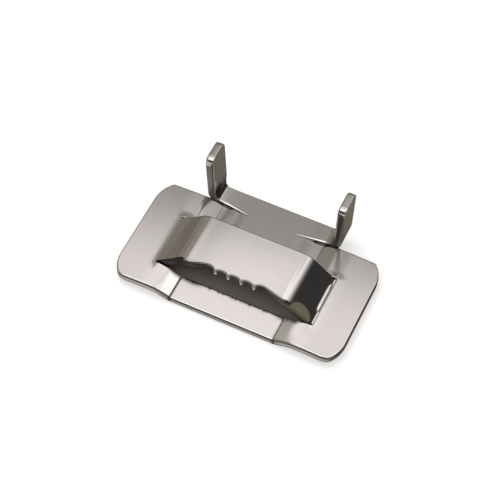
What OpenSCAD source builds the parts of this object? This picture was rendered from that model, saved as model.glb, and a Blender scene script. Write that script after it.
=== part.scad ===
// Strapping buckle for steel band, stamped in one piece from stainless sheet.
// The band runs along Y: over the front bar, under the raised bridge, over the rear bar, and out
// between the two ears, which are hammered down over the folded band end.
// X runs along the plate, Y from the toothed side to the ears, Z up. The origin is under the middle
// of the buckle, on the surface that it rests on.

/* [Band] */
// Width of the steel band that the buckle holds
band_w = 19; // [16:0.5:32]
// Free play on each side of the band in its channel
band_play = 0.5; // [0.2:0.05:1]

/* [Sheet] */
// Thickness of the sheet
sheet_t = 1.5; // [1:0.05:2]
// Width of a lanced slit
slit_w = 0.2; // [0.1:0.02:0.4]

/* [Plate] */
// Length of each end wing, outside the foot of the bridge
wing_l = 6.6; // [4:0.1:14]
// Angle by which each wing droops towards its end
wing_droop = 2.8; // [0.5:0.1:6]
// Radius on the underside of the bend where a wing starts to droop
wing_bend_r = 20; // [10:1:40]
// Depth of the front bar, from the front edge to the slit
front_bar_d = 4.9; // [3:0.1:9]
// Depth of the rear bar, from the slit to the rear edge
rear_bar_d = 6.1; // [4:0.1:10]
// Radius of the arcs at the plate's corners
corner_r = 6; // [5:0.1:9]
// Length of a corner arc, measured along the end edge
corner_l = 4.3; // [2:0.1:4.8]

/* [Channel] */
// Depth of the channel floor under the wings
channel_drop = 1; // [0.5:0.05:1.5]
// Angle of the ramps down into the channel
channel_angle = 20; // [14:1:35]
// Inside radius at the bottom of a channel ramp
channel_foot_r = 0.3; // [0.2:0.05:0.8]
// Inside radius at the top of a channel ramp
channel_top_r = 1.5; // [0.5:0.1:2.5]
// Depth of the flat that is coined into the front bar
coin_depth = 0.2; // [0.05:0.05:0.4]
// Radius of the coined flat's inner corners
coin_corner_r = 0.9; // [0.3:0.1:2]
// Height of the rear bar's middle above the channel floor
arch_rise = 0.7; // [0.45:0.05:0.9]
// Slope of the rear bar's sides
arch_angle = 12.5; // [9:0.5:16]
// Inside radius of the rear bar's bends
arch_r = 7.25; // [3:0.25:8]
// Flat between the rear bar's sides and the channel's ramps
arch_land = 0.3; // [0.1:0.05:1]

/* [Bridge] */
// Depth of the bridge, from its toothed edge to its rear edge
bridge_d = 10.2; // [7:0.1:16]
// Height of the bridge above the wings
bridge_rise = 4.2; // [3.2:0.1:7]
// Slope of the bridge's legs
bridge_angle = 40; // [36:1:60]
// Inside radius at the top of a leg
bridge_top_r = 2.1; // [1:0.1:3]
// Inside radius at the foot of a leg
bridge_foot_r = 0.6; // [0.3:0.1:2]
// How far the bridge's flat top ends inside the channel
bridge_inset = 1.4; // [0.5:0.1:2.5]

/* [Teeth] */
// Number of teeth on the bridge's front edge
tooth_n = 4; // [2:1:4]
// Distance from one tooth to the next
tooth_pitch = 2.46; // [1.8:0.02:2.6]
// Radius of the scallops between the teeth
scallop_r = 1.76; // [1.5:0.02:2.4]
// Depth of the scallops between the teeth
scallop_d = 0.75; // [0.55:0.05:1.2]
// Radius of the scallop outside each end tooth
end_scallop_r = 2.1; // [1.6:0.1:3]
// Depth of the scallop outside each end tooth
end_scallop_d = 1; // [0.8:0.05:1.6]
// Distance from an end tooth to the middle of its end scallop
end_scallop_x = 1.6; // [1.2:0.1:2]

/* [Ears] */
// Width of an ear
ear_w = 5; // [4:0.1:8]
// How far an ear's rear edge stands out behind the strip that joins the ears
ear_flare = 1.2; // [0.2:0.1:1.5]
// Height over which an ear widens by that much above the strip
ear_heel_h = 2; // [0.5:0.1:3]
// Height of an ear above that strip
ear_h = 11.2; // [7:0.1:18]
// Outward lean of an ear
ear_splay = 2; // [0.5:0.5:8]
// Inside radius of an ear's bend
ear_bend_r = 1.6; // [0.6:0.1:3]
// Radius of an ear's top corners
ear_corner_r = 1.2; // [0.2:0.1:1.4]
// How far a relief slit runs into the rear bar at its inner end
relief_skew = 0.55; // [0:0.05:1.5]
// Room past an ear's outer face at the outer end of its relief slit
relief_room = 0.3; // [0.1:0.05:1]

/* [Hidden] */
$fn = 96;

// Room by which a cutting shape stands clear of what it cuts
clear = 1;
// Overlap of the straights and bends that make up the section, and the step by which they blend
lap = 0.3;
blend = 0.001;
// What the bars and the bridge keep clear of a slit's far side, so that they overlap within the slit
slit_lap = slit_w / 4;

// Horizontal run of a sheet that rises by h between two level stretches, with bends of radius ra and rb
// at the middle of the sheet and a straight slope at the angle a between them
function slope_l(h, a, ra, rb) = (h - (ra + rb) * (1 - cos(a))) / sin(a);
function slope_run(h, a, ra, rb) = (ra + rb) * sin(a) + slope_l(h, a, ra, rb) * cos(a);
// Radius at the middle of the sheet for an inside radius r
function mid(r) = r + sheet_t / 2;

channel_x = band_w / 2 + band_play;

bridge_slope = slope_l(bridge_rise, bridge_angle, mid(bridge_top_r), mid(bridge_foot_r));
bridge_run = slope_run(bridge_rise, bridge_angle, mid(bridge_top_r), mid(bridge_foot_r));
bridge_x = channel_x - bridge_inset;
// The bridge's foot is also where its slits end and the wings start
foot_x = bridge_x + bridge_run;
plate_x = foot_x + wing_l;

channel_slope = slope_l(channel_drop, channel_angle, mid(channel_foot_r), mid(channel_top_r));
channel_run = slope_run(channel_drop, channel_angle, mid(channel_foot_r), mid(channel_top_r));
channel_land = foot_x - channel_x - channel_run;

arch_slope = slope_l(arch_rise, arch_angle, mid(arch_r), mid(arch_r));
arch_run = slope_run(arch_rise, arch_angle, mid(arch_r), mid(arch_r));
arch_x = channel_x - arch_land - arch_run;

ear_bend = 90 - ear_splay;
ear_straight = (ear_h + sheet_t / 2 - mid(ear_bend_r) * (1 - cos(ear_bend))) / sin(ear_bend);
ear_out_x = channel_x + mid(ear_bend_r) * sin(ear_bend) + sheet_t / 2;
ear_top_x = ear_out_x + ear_straight * cos(ear_bend);

// Places along Y, with the whole buckle centred on the origin
depth = front_bar_d + bridge_d + 2 * slit_w + rear_bar_d + ear_w;
front_y = -depth / 2;
slit_front_y = front_y + front_bar_d;
bridge_front_y = slit_front_y + slit_w;
bridge_rear_y = bridge_front_y + bridge_d;
slit_rear_y = bridge_rear_y + slit_w;
rear_y = slit_rear_y + rear_bar_d;
ear_rear_y = depth / 2;

// Heights of the middle of the sheet
floor_z = sheet_t / 2;
wing_z = floor_z + channel_drop;
bridge_z = wing_z + bridge_rise;
arch_z = floor_z + arch_rise;
top_z = arch_z + sheet_t / 2 + ear_h + sheet_t;

// Teeth
tooth_end_x = (tooth_n - 1) * tooth_pitch / 2;
end_scallop = [tooth_end_x + end_scallop_x, bridge_front_y + end_scallop_d - end_scallop_r];
edge_corner = [bridge_x + mid(bridge_top_r) * sin(bridge_angle) / 2, bridge_front_y];

// Touching point of the line from the point p to the upper side of the circle with centre c and radius r
function touch(p, c, r) =
    let (d = p - c, a = atan2(d.y, d.x) + acos(r / norm(d))) c + r * [cos(a), sin(a)];

// Unit vectors along a heading and to its left
function along(h) = [cos(h), sin(h)];
function left(h) = [-sin(h), cos(h)];

// The section of the sheet follows a path. Each step of the path is [straight length, bend angle, inside
// radius]: the sheet runs straight, then bends up for a positive angle or down for a negative one.
// These give where a step starts, as [point, heading], where its bend starts and the bend's centre.
function start(path, i, z) =
    i == 0 ? [[0, z], 0] :
    let (h = start(path, i - 1, z)[1] + path[i - 1][1])
    [centre(path, i - 1, z) - sign(path[i - 1][1]) * mid(path[i - 1][2]) * left(h), h];
function straight_end(path, i, z) =
    let (s = start(path, i, z)) s[0] + path[i][0] * along(s[1]);
function centre(path, i, z) =
    straight_end(path, i, z)
    + sign(path[i][1]) * mid(path[i][2]) * left(start(path, i, z)[1]);

// Sheet of the depth d with its section along a path, whose middle is at the height z at the start
module bent_sheet(path, z, d) {
    for (i = [0:len(path) - 1]) {
        s = start(path, i, z);
        before = i == 0 ? 0 : path[i - 1][1];
        linear_extrude(d) straight(s[0], s[1], path[i][0], before, path[i][1]);
        if (path[i][1] != 0)
            linear_extrude(d) bend(centre(path, i, z), s[1], path[i][1], path[i][2]);
    }
}

// Straight stretch of the section, which laps into the bends before and after it on their inner side
module straight(p, h, l, before, after) {
    ahead = along(h);
    side = sheet_t / 2 * left(h);
    first = before == 0 ? [lap, lap] : [lap_into(before, 1), lap_into(before, -1)];
    last = [lap_into(after, 1), lap_into(after, -1)];
    polygon([
        p + side - first[0] * ahead,
        p + side + (l + last[0]) * ahead,
        p - side + (l + last[1]) * ahead,
        p - side - first[1] * ahead]);
}

function lap_into(angle, side) = angle * side > 0 ? lap : 0;

// Sector of a ring that carries the sheet through a bend, and laps over the straights on its outer side
module bend(c, h, angle, r) {
    turn = sign(angle);
    from = -turn * left(h);
    to = -turn * left(h + angle);
    outwards = (from + to) / norm(from + to);
    deep = r + 2 * sheet_t;
    translate(c + blend / cos(angle / 2) * outwards)
        intersection() {
            difference() {
                circle(r + sheet_t);
                circle(r);
            }
            polygon([
                [0, 0],
                r * from,
                deep * from - 2 * lap * along(h),
                deep / cos(angle / 2) * outwards,
                deep * to + 2 * lap * along(h + angle),
                r * to]);
        }
}

// The children, turned over when they face the other way
module facing(way, axis) {
    if (way < 0)
        mirror(axis) children();
    else
        children();
}

// Sheet with the same section all along Y, from y0 to y1, with its middle at the height z. The path
// gives the half from the middle outwards, and the other half is its mirror image.
module formed(path, z, y0, y1) {
    translate([0, y1, 0])
        rotate([90, 0, 0])
            for (side = [0, 1])
                mirror([side, 0, 0]) bent_sheet(path, z, y1 - y0);
}

// Prism over a flat outline, tall enough to cut the whole buckle
module through(z0 = -clear, z1 = top_z + clear) {
    translate([0, 0, z0]) linear_extrude(z1 - z0) children();
}

// Paths of the sheet, from the middle outwards
wing_path = [[wing_l + clear, 0, 0]];
droop = [wing_droop, wing_bend_r];
channel_path = [
    [channel_slope, -channel_angle, channel_top_r],
    [channel_land, -droop[0], droop[1]],
    wing_path[0]];
front_path = concat([[channel_x, channel_angle, channel_foot_r]], channel_path);
rear_path = concat([
    [arch_x, -arch_angle, arch_r],
    [arch_slope, arch_angle, arch_r],
    [arch_land, channel_angle, channel_foot_r]], channel_path);
bridge_path = [
    [bridge_x, -bridge_angle, bridge_top_r],
    [bridge_slope, bridge_angle, bridge_foot_r],
    [0, -droop[0], droop[1]],
    wing_path[0]];
ear_path = [[channel_x, ear_bend, ear_bend_r], [ear_straight, 0, 0]];

// Outline of the plate, with an arc at each corner that runs into the end edge
module plate_outline() {
    difference() {
        translate([-plate_x, front_y]) square([2 * plate_x, rear_y - front_y]);
        for (side = [0, 1])
            mirror([side, 0]) {
                plate_corner(rear_y, 1);
                plate_corner(front_y, -1);
            }
    }
}

// What is cut off one corner, at the edge y. out is the way out of the plate along Y.
module plate_corner(y, out) {
    translate([plate_x, y])
        facing(out, [0, 1])
            difference() {
                translate([-corner_r, -corner_l]) square([corner_r + clear, corner_l + clear]);
                translate([-corner_r, -corner_l]) circle(corner_r);
            }
}

// The two slits that part the bridge from the bars
module slits() {
    for (y = [slit_front_y, bridge_rear_y])
        translate([-foot_x, y]) square([2 * foot_x, slit_w]);
}

// What is cut away between the teeth and beside them
module tooth_gaps() {
    for (i = [1:1:tooth_n - 1])
        translate([(i - tooth_n / 2) * tooth_pitch, bridge_front_y + scallop_d - scallop_r])
            circle(scallop_r);
    for (side = [0, 1])
        mirror([side, 0]) {
            translate(end_scallop) circle(end_scallop_r);
            polygon([edge_corner, touch(edge_corner, end_scallop, end_scallop_r), end_scallop]);
        }
}

// Flat outline of the strip behind the plate that joins the ears. Its middle runs on into the rear bar.
module ear_strip_outline() {
    polygon([
        [-arch_x, rear_y - relief_skew - clear],
        [arch_x, rear_y - relief_skew - clear],
        [arch_x, rear_y - relief_skew],
        [channel_x, rear_y],
        [ear_top_x + clear, rear_y],
        [ear_top_x + clear, ear_rear_y],
        [-ear_top_x - clear, ear_rear_y],
        [-ear_top_x - clear, rear_y],
        [-channel_x, rear_y],
        [-arch_x, rear_y - relief_skew]]);
}

// What the relief slit beside one ear leaves out of the rear bar
module relief_slit() {
    end_x = ear_out_x + relief_room;
    polygon([
        [arch_x, rear_y - relief_skew - slit_w],
        [channel_x, rear_y - slit_w],
        [end_x, rear_y - slit_w],
        [end_x, rear_y + 2 * clear],
        [channel_x, rear_y + 2 * clear],
        [arch_x, rear_y + 2 * clear]]);
}

// Outline of the flat that is coined into the front bar, round at its two inner corners
module coined_flat() {
    r = coin_corner_r;
    translate([-channel_x, front_y - clear])
        square([2 * channel_x, front_bar_d + clear - r]);
    translate([r - channel_x, front_y - clear])
        square([2 * (channel_x - r), front_bar_d + 2 * clear]);
    for (side = [-1, 1])
        translate([side * (channel_x - r), slit_front_y - r]) circle(r);
}

// The front bar, with the wings' front parts
module front_bar() {
    difference() {
        formed(front_path, floor_z, front_y - clear, bridge_front_y - slit_lap);
        through(sheet_t - coin_depth, sheet_t + clear) coined_flat();
    }
}

// The rear bar, with the wings' rear parts
module rear_bar() {
    difference() {
        formed(rear_path, arch_z, bridge_rear_y + slit_lap, rear_y + clear);
        for (side = [0, 1])
            mirror([side, 0, 0]) through() relief_slit();
    }
}

// The raised bridge with its teeth, and the wings beside it
module bridge() {
    difference() {
        formed(bridge_path, bridge_z, slit_front_y + slit_lap, slit_rear_y - slit_lap);
        through() tooth_gaps();
    }
}

// The strip behind the rear bar, with an ear turned up at each end
module ears() {
    difference() {
        intersection() {
            formed(ear_path, arch_z, rear_y - relief_skew - 2 * clear, ear_rear_y + clear);
            through() ear_strip_outline();
        }
        ear_corner(rear_y, 1);
        ear_corner(ear_rear_y, -1);
        ear_heel();
    }
}

// What is cut off behind the strip, so that it is narrower than the ears. An ear widens above it.
module ear_heel() {
    half = ear_top_x + clear;
    y = ear_rear_y - ear_flare;
    z = arch_z + sheet_t / 2;
    translate([-half, 0, 0])
        rotate([90, 0, 90])
            linear_extrude(2 * half)
                polygon([
                    [y, -clear],
                    [y, z],
                    [ear_rear_y, z + ear_heel_h],
                    [ear_rear_y + 2 * clear, z + ear_heel_h],
                    [ear_rear_y + 2 * clear, -clear]]);
}

// What is cut off the ears' top corners at the edge y. into is the way into the ear along Y.
module ear_corner(y, into) {
    r = ear_corner_r;
    top = arch_z + sheet_t / 2 + ear_h;
    half = ear_top_x + clear;
    translate([-half, y, top])
        rotate([90, 0, 90])
            linear_extrude(2 * half)
                facing(into, [1, 0])
                    difference() {
                        translate([-clear, -r]) square([r + clear, r + clear]);
                        translate([r, -r]) circle(r);
                    }
}

// The plate with its bars and its bridge. The wings' parts run into each other beside the slits' ends.
module plate() {
    difference() {
        intersection() {
            union() {
                front_bar();
                bridge();
                rear_bar();
            }
            through() plate_outline();
        }
        through() slits();
    }
}

module buckle() {
    color("silver") {
        plate();
        ears();
    }
}

buckle();
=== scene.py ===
# %% [markdown]
# # A strapping buckle
# A strapping buckle holds the two ends of a steel band. It is one piece of stainless sheet: a press cuts two
# slits, pushes the strip between them up into a bridge, sinks the bars beside it, and turns up two ears.
# This lesson draws that one piece of sheet as a surface, gives it thickness and worn edges, and lights it.

import bpy
import numpy as np
from mathutils import Matrix, Vector


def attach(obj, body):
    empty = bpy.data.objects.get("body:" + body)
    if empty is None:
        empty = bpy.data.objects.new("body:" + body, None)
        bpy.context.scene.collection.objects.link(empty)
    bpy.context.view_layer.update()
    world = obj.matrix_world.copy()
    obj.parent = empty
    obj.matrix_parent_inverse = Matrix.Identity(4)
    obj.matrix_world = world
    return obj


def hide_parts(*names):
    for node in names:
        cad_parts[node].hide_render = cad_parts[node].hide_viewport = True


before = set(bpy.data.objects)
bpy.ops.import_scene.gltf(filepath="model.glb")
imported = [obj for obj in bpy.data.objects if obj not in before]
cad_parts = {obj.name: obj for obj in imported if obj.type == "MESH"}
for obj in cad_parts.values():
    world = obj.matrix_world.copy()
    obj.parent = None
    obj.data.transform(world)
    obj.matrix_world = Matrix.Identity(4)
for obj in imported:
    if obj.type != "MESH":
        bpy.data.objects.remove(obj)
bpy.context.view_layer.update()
scene = bpy.context.scene
MM = 0.001

# %% [markdown]
# ## The camera
# The camera stands in front of the buckle, a little to its right, and looks down at it. A long lens keeps the
# far edge nearly as long as the near one. The three axes of the camera come from two angles, so nothing is
# posed by hand: `back` points from the object to the camera, and `right` and `up` follow from it.

# %% Place the camera
AZIMUTH, ELEVATION = np.radians([25.68, 57.14])
DISTANCE = 283.0 * MM
LENS = 116.2
CENTRE = np.array([0.0, -3.0, 2.5]) * MM
AIM_RIGHT, AIM_UP = 0.66 * MM, 3.47 * MM

level = np.array([np.sin(AZIMUTH), -np.cos(AZIMUTH), 0.0])
back = level * np.cos(ELEVATION) + [0.0, 0.0, np.sin(ELEVATION)]
right = np.array([np.cos(AZIMUTH), np.sin(AZIMUTH), 0.0])
up = np.cross(back, right)
eye = CENTRE + DISTANCE * back
aim = CENTRE + AIM_RIGHT * right + AIM_UP * up
look_back = (eye - aim) / np.linalg.norm(eye - aim)
look_right = np.cross(up, look_back)
look_right /= np.linalg.norm(look_right)
look_up = np.cross(look_back, look_right)

camera = bpy.data.objects.new("camera", bpy.data.cameras.new("camera"))
scene.collection.objects.link(camera)
turn = np.eye(4)
turn[:3, :3] = np.stack([look_right, look_up, look_back], -1)
turn[:3, 3] = eye
camera.matrix_world = Matrix(turn.tolist())
camera.data.lens = LENS
camera.data.clip_start, camera.data.clip_end = 0.01, 20
scene.camera = camera
print("camera stands at", np.round(eye / MM, 1).tolist(), "mm")

# %% [markdown]
# ## A line of bent sheet
# Folded sheet keeps its length through a bend, so a section through it is a line of straights and arcs. A press
# brake operator writes it down as steps: go straight this far, then bend by this angle round this radius.
# Walking those steps gives the place and the heading of the middle of the sheet, and the heading gives the
# normal. Each step is worked out as an array, and only the steps themselves are taken one after another.

# %% Walk along a section
SHEET = 1.5


def run(length, step):
    """Distances along a straight: evenly spaced, at most one step apart, up to its length."""
    n = max(1, int(np.ceil(length / step)))
    return np.linspace(0, length, n + 1)[1:]


def bent_line(z, steps, facet=4.0):
    """Walk from the middle outwards. A straight adds its distances along the heading. A bend of the angle a and
    the inside radius r adds points of a circle of radius r plus half the sheet, as the heading turns by a.
    Returns an array of x, z and heading."""
    x, h = 0.0, 0.0
    parts = [np.array([[x, z, h]])]
    for distances, angle, r in steps:
        d = np.asarray(distances, float)
        if len(d):
            parts.append(np.stack([x + d * np.cos(h), z + d * np.sin(h), np.full(len(d), h)], -1))
            x, z = parts[-1][-1, :2]
        if angle:
            a = np.radians(angle)
            turned = h + np.linspace(0, a, max(3, int(np.ceil(abs(angle) / facet)) + 1))[1:]
            reach = np.sign(a) * (r + SHEET / 2)
            cx, cz = x - reach * np.sin(h), z + reach * np.cos(h)
            parts.append(np.stack([cx + reach * np.sin(turned), cz - reach * np.cos(turned), turned], -1))
            x, z, h = parts[-1][-1]
    return np.concatenate(parts)


print("a square bend round 1 mm ends at", np.round(bent_line(0.0, [([], 90.0, 1.0)])[-1, :2], 2).tolist())

# %% [markdown]
# The buckle is the same on both sides, so a half section is enough, and its mirror image makes it whole. A slope
# between two bends has to climb by a given height. The bends take part of it, and the rest is left to the straight.

# %% Halves and slopes
def both_sides(half):
    """The half from the middle outwards, with its mirror image before it."""
    return np.concatenate([(half * [-1, 1, -1])[:0:-1], half])


def slope_length(rise, angle, ra, rb):
    """Straight part of a slope that climbs by rise between two bends with the middle radii ra and rb."""
    a = np.radians(angle)
    return (rise - (ra + rb) * (1 - np.cos(a))) / np.sin(a)


print("a 20 degree ramp that sinks 1 mm has", round(slope_length(1.0, 20, 1.05, 2.25), 2), "mm of straight")

# %% [markdown]
# ## The sections of this buckle
# Four sections cross the band: the sunk front bar, the bridge, the rear bar that dips beside the ears, and the
# strip that carries the ears. All of them end level with the wings at the bridge's foot, so they can meet there.

# %% Heights and the bridge, in millimetres
CHANNEL_X, BRIDGE_X, WING_L = 10.0, 8.6, 6.6
CHANNEL_DEEP, BRIDGE_RISE, ARCH_RISE = 1.0, 4.2, 0.7
HALF = SHEET / 2
FLOOR_Z = HALF
WING_Z = FLOOR_Z + CHANNEL_DEEP
BRIDGE_Z = WING_Z + BRIDGE_RISE
STRIP_Z = FLOOR_Z + ARCH_RISE

LEG, BRIDGE_R, FOOT_R = 40.0, 2.1, 0.6
bridge_slope = slope_length(BRIDGE_RISE, LEG, BRIDGE_R + HALF, FOOT_R + HALF)

TOOTH_STEP = 0.123
tooth_stations = np.arange(TOOTH_STEP, 7.0, TOOTH_STEP)
bridge_half = bent_line(BRIDGE_Z, [
    (np.concatenate([tooth_stations, [7.2, 7.6, 8.0, 8.3, BRIDGE_X]]), -LEG, BRIDGE_R),
    (run(bridge_slope, 0.15), LEG, FOOT_R)])
FOOT_X = bridge_half[-1, 0]
PLATE_X = FOOT_X + WING_L
print("bridge foot at", round(FOOT_X, 3), "plate end at", round(PLATE_X, 3))

# %% [markdown]
# The two bars have ramps at both ends. The front bar is flat between them and meets them in a sharp crease. The rear
# bar is arched up in its middle, to the level of the strip with the ears.

# %% Bars
CHANNEL_BEND, CREASE_R, RAMP_R, REAR_RAMP_R = 20.0, 0.3, 5.0, 1.5
ARCH_BEND, ARCH_R, ARCH_FLAT = 12.5, 7.25, 0.3
channel_slope = slope_length(CHANNEL_DEEP, CHANNEL_BEND, CREASE_R + HALF, RAMP_R + HALF)
rear_slope = slope_length(CHANNEL_DEEP, CHANNEL_BEND, CREASE_R + HALF, REAR_RAMP_R + HALF)
arch_slope = slope_length(ARCH_RISE, ARCH_BEND, ARCH_R + HALF, ARCH_R + HALF)


def to_foot(half):
    """The half line, carried on level at the wings' height until it reaches the bridge's foot."""
    x = half[-1, 0] + run(FOOT_X - half[-1, 0], 0.4)
    return np.concatenate([half, np.stack([x, np.full(len(x), WING_Z), np.zeros(len(x))], -1)])


crease_stations = np.concatenate(
    [run(8.4, 0.2), np.arange(8.5, 9.75, 0.1), np.arange(9.78, 10.0, 0.03), [CHANNEL_X]])
front_half = to_foot(bent_line(FLOOR_Z, [
    (crease_stations, CHANNEL_BEND, CREASE_R), (run(channel_slope, 0.3), -CHANNEL_BEND, RAMP_R)]))

arch = np.radians(ARCH_BEND)
arch_run = 2 * (ARCH_R + HALF) * np.sin(arch) + arch_slope * np.cos(arch)
ARCH_X = CHANNEL_X - ARCH_FLAT - arch_run
rear_half = to_foot(bent_line(STRIP_Z, [
    (run(ARCH_X, 0.4), -ARCH_BEND, ARCH_R), (run(arch_slope, 0.3), ARCH_BEND, ARCH_R),
    (run(ARCH_FLAT, 0.15), CHANNEL_BEND, CREASE_R), (run(rear_slope, 0.3), -CHANNEL_BEND, REAR_RAMP_R)]))
print("front bar has", len(front_half), "stations on each side, and the rear bar's arch ends at", round(ARCH_X, 3))

# %% [markdown]
# ## Edges seen from above
# The press cuts the outline while the sheet is still flat, so in plan each edge is a simple curve: y as a
# function of x. A corner of the plate, for example, is an arc that runs into the end edge. Writing the edges as
# functions means any column of the surface can ask for its edge.
# The punch rounds every edge it enters. The curves below are those where the round begins, a little inside the cut,
# and the round itself is added later: wide on the outline and on the teeth, tight where a slit was lanced.

# %% Outline and corners
ROLL, TIGHT = 0.3, 0.08
FRONT_Y, SLIT_FRONT, BRIDGE_FRONT = -13.3, -8.4, -8.2
BRIDGE_REAR, SLIT_REAR, REAR_Y, EAR_Y = 2.0, 2.2, 8.3, 13.3
CORNER_R, CORNER_L = 6.0, 4.3


def corner_drop(x, soft):
    """How far a corner arc stands in from the straight edge: the arc's circle has its centre CORNER_R inside
    the end and CORNER_L inside the edge. Both are shorter by the round. Within soft millimetres of the corner where
    arc and edge meet, a parabola leads from one to the other."""
    r = CORNER_R - ROLL
    reach = np.clip(np.abs(x) - (PLATE_X - CORNER_R), 0, r)
    drop = CORNER_L - ROLL - np.sqrt(r ** 2 - reach ** 2)
    return np.where(np.abs(drop) < soft, (drop + soft) ** 2 / (4 * soft), np.clip(drop, 0, None))


print("at its end the corner arc stands in by", round(float(corner_drop(PLATE_X - ROLL, 0.1)), 2), "mm")

# %% [markdown]
# The teeth grip the band. They are what is left between circles that are bitten out of the bridge's front edge, and
# a straight line leads from the last circle to the leg.

# %% Teeth
TEETH = ((0.0, 1.76, 0.75), (2.46, 1.76, 0.75), (5.29, 2.1, 1.0))  # place, radius and depth of each circle
TOOTH_END_X = 9.516


def tooth_roll(x):
    """Width of the round along the bridge's front edge: widest where it rose first, on the left. It tapers down the
    legs, to the ends of the slit."""
    return np.interp(x, [0.4 - FOOT_X, -11.0, -10.0, -8.0, -6.0, 6.0, 8.0, 11.0, FOOT_X - 0.4],
                     [TIGHT, ROLL, 0.45, 0.45, 0.22, 0.22, ROLL, ROLL, TIGHT])


def tooth_edge(x):
    """Front edge of the bridge: at each x the deepest of the circles that are bitten out of it, or of the straight
    line that leads from the last circle to the leg. The round makes the circles larger and moves the line in."""
    straight = BRIDGE_FRONT + tooth_roll(x)
    x, edge = np.abs(x), straight
    for cx, r, depth in TEETH:
        inside = np.clip((r + tooth_roll(cx)) ** 2 - (x - cx) ** 2, 0, None)
        edge = np.maximum(edge, BRIDGE_FRONT + depth - r + np.sqrt(inside))
    # From here on cx, r and depth are those of the last circle, which the straight line touches.
    c, p = np.array([cx, BRIDGE_FRONT + depth - r]), np.array([TOOTH_END_X, BRIDGE_FRONT])
    d = p - c
    a = np.arctan2(d[1], d[0]) + np.arccos(r / np.linalg.norm(d))
    way = np.array([np.cos(a), np.sin(a)])
    t, slope = c + (r + tooth_roll(cx)) * way, -way[0] / way[1]
    return np.where(x > t[0], np.maximum(t[1] + (x - t[0]) * slope, straight), edge)


print("tooth edge at the middle", round(float(tooth_edge(np.array([0.0]))[0]), 3), "and at a tooth",
      round(float(tooth_edge(np.array([1.23]))[0]), 3))

# %% [markdown]
# An ear can only be bent up if the sheet beside it is cut first. This relief slit starts at the rear edge beside the
# ear, slants forwards a little on its way to the middle, and is hardly wider than a line.

# %% Relief slits
RELIEF, SLIT = 0.55, 0.06
EAR_BEND, EAR_R, EAR_CORNER, EAR_CLEAR = 88.0, 1.6, 1.2, 0.3
EAR_OUT_X = CHANNEL_X + (EAR_R + HALF) * np.sin(np.radians(EAR_BEND)) + HALF + EAR_CLEAR


def relief_edge(x):
    """Rear edge of the rear bar: it follows the relief slit beside the ear and steps out where the slit ends."""
    x = np.abs(x)
    slant = np.interp(x, [ARCH_X, CHANNEL_X], [REAR_Y - RELIEF - SLIT, REAR_Y - SLIT])
    return np.where(x > EAR_OUT_X, REAR_Y, slant)


def relief_roll(x):
    """Width of the round on the strip's front edge: none where the slit begins, widest beside the ear."""
    return np.interp(np.abs(x), [ARCH_X, CHANNEL_X - 0.6, CHANNEL_X + 1.0], [TIGHT, 0.42, ROLL])


print("the relief slit runs from", round(ARCH_X, 2), "to", round(EAR_OUT_X, 2), "mm beside the middle")

# %% [markdown]
# ## The middle of the sheet as grids
# Each strip is a function of two parameters: how far along its section, and which share of its depth. Rows are
# closer together near the edges, where the sheet rolls over. The strips and the two wings are separate grids
# whose border points fall on each other, so merging equal points joins them, and the slits stay open.

# %% Grid over a section
def shares(depth, edge_rows, step):
    """Shares of a depth, from 0 to 1, with narrow rows at both edges and even rows between them."""
    e = np.asarray(edge_rows, float)
    n = max(2, int(np.ceil((depth - 2 * e[-1]) / step)))
    d = np.concatenate([[0], e, np.linspace(e[-1], depth - e[-1], n + 1)[1:-1], depth - e[::-1], [depth]])
    return d / depth


def strip(line, low, high, rows, rolls):
    """Grid over a section: at each station y goes from low to high by the rows' shares. x, z and the normal come
    from the section, so they are the same along a column. The width of the round goes evenly from the first of
    the rolls, at the low edge, to the second."""
    x, z, h = (line[:, k, None] for k in range(3))
    y = low[:, None] + rows * (high - low)[:, None]
    zero = np.zeros_like(y)
    points = np.stack([x + zero, y, z + zero], -1)
    normals = np.stack([zero - np.sin(h), zero, zero + np.cos(h)], -1)
    a, b = (np.broadcast_to(r, len(line))[:, None] for r in rolls)
    return points, normals, a + rows * (b - a)


print("rows of a strip 2 mm deep:", np.round(shares(2.0, [0.1, 0.3], 0.5), 2).tolist())

# %% [markdown]
# Front bar, bridge and rear bar are one strip each. The front bar has its narrowest rows along the coined crease, and
# the bridge along its teeth.

# %% Three strips
FRONT_DEEP, BRIDGE_DEEP, REAR_DEEP = 4.9, 10.1, 6.1
front_rows = np.concatenate(
    [[0, 0.15, 0.4], np.arange(0.7, 3.6, 0.28), np.arange(3.75, 4.6, 0.1), [4.65, 4.78, FRONT_DEEP]]) / FRONT_DEEP
bridge_rows = np.concatenate(
    [[0, 0.15], np.arange(0.3, 2.7, 0.15), np.arange(3.0, 9.5, 0.5), [9.6, 9.8, 9.95, BRIDGE_DEEP]]) / BRIDGE_DEEP
rear_rows = shares(REAR_DEEP, [0.15, 0.4], 0.45)
front_line, bridge_line, rear_line = (both_sides(h) for h in (front_half, bridge_half, rear_half))


def flat(line, y):
    """A straight edge: the same y at every station of the line."""
    return np.full(len(line), float(y))


rear_roll = np.where(np.abs(rear_line[:, 0]) > EAR_OUT_X, ROLL, TIGHT)
grids = [
    strip(front_line, flat(front_line, FRONT_Y + ROLL), flat(front_line, SLIT_FRONT - TIGHT),
          front_rows, (ROLL, TIGHT)),
    strip(bridge_line, tooth_edge(bridge_line[:, 0]), flat(bridge_line, BRIDGE_REAR - TIGHT),
          bridge_rows, (tooth_roll(bridge_line[:, 0]), TIGHT)),
    strip(rear_line, flat(rear_line, SLIT_REAR + TIGHT), relief_edge(rear_line[:, 0]) - rear_roll,
          rear_rows, (TIGHT, rear_roll))]
print("strips:", [g[0].shape[:2] for g in grids])

# %% [markdown]
# The wings take all the rows of the three strips and the two slits, so that their first column fits the strips'
# last ones. They droop a little towards the ends, and the corner arcs pull their rows together.

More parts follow.
